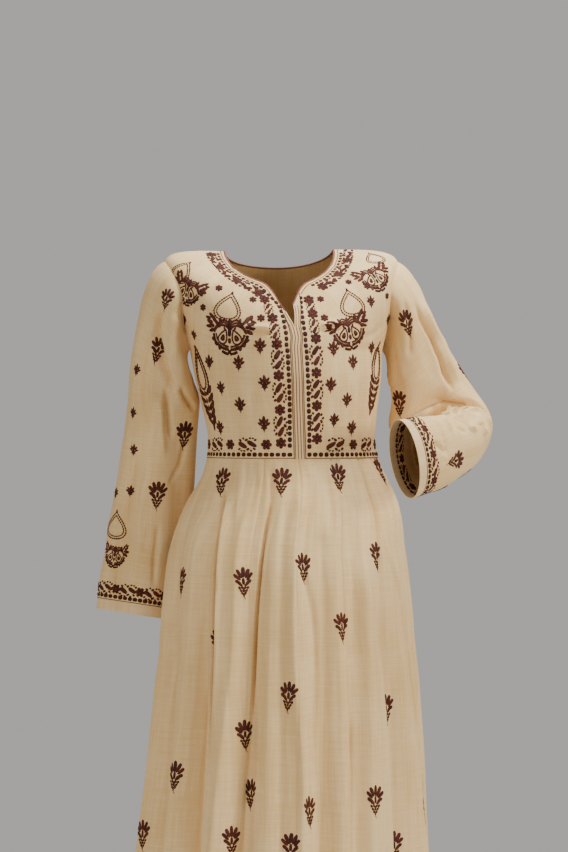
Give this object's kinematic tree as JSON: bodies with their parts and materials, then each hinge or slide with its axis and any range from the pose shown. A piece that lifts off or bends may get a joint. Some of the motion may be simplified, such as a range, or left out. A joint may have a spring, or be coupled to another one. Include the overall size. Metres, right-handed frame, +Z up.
{
  "type": "anarkali gown",
  "caption": "Full-length anarkali gown in hollow worn pose: fitted bodice with a front slit, long sleeves, one bent, and a flared skirt of tapered panels with hanging folds.",
  "frame": {"origin": "midway between the shoulders, at the height of the neck points, where the wearer's shoulders hold the gown up", "axes": "+Z up, the front of the gown faces -Y, the wearer's left is +X"},
  "size_m": [0.6609, 0.5107, 1.325],
  "materials": {
    "bodice": "cream cotton with maroon-brown thread embroidery",
    "slit_strip": "cream cotton with a thin brown line at each edge",
    "binding": "thin reddish-brown binding",
    "sleeve": "cream cotton with scattered embroidered sprigs",
    "cuff_band": "plain cream cotton band",
    "skirt": "cream cotton with scattered embroidered sprigs"
  },
  "bodies": {
    "root": {"bodice_front_right": "bodice", "bodice_front_left": "bodice", "bodice_back": "bodice", "placket_right": "slit_strip", "placket_left": "slit_strip", "neck_binding": "binding", "sleeve_right": "sleeve", "sleeve_left": "sleeve", "cuff_band_right": "cuff_band", "cuff_band_left": "cuff_band", "skirt_kali_01": "skirt", "skirt_kali_02": "skirt", "skirt_kali_03": "skirt", "skirt_kali_04": "skirt", "skirt_kali_05": "skirt", "skirt_kali_06": "skirt", "skirt_kali_07": "skirt", "skirt_kali_08": "skirt", "skirt_kali_09": "skirt", "skirt_kali_10": "skirt", "skirt_kali_11": "skirt", "skirt_kali_12": "skirt", "skirt_kali_13": "skirt", "skirt_kali_14": "skirt", "skirt_kali_15": "skirt", "skirt_kali_16": "skirt"}
  },
  "joints": []
}
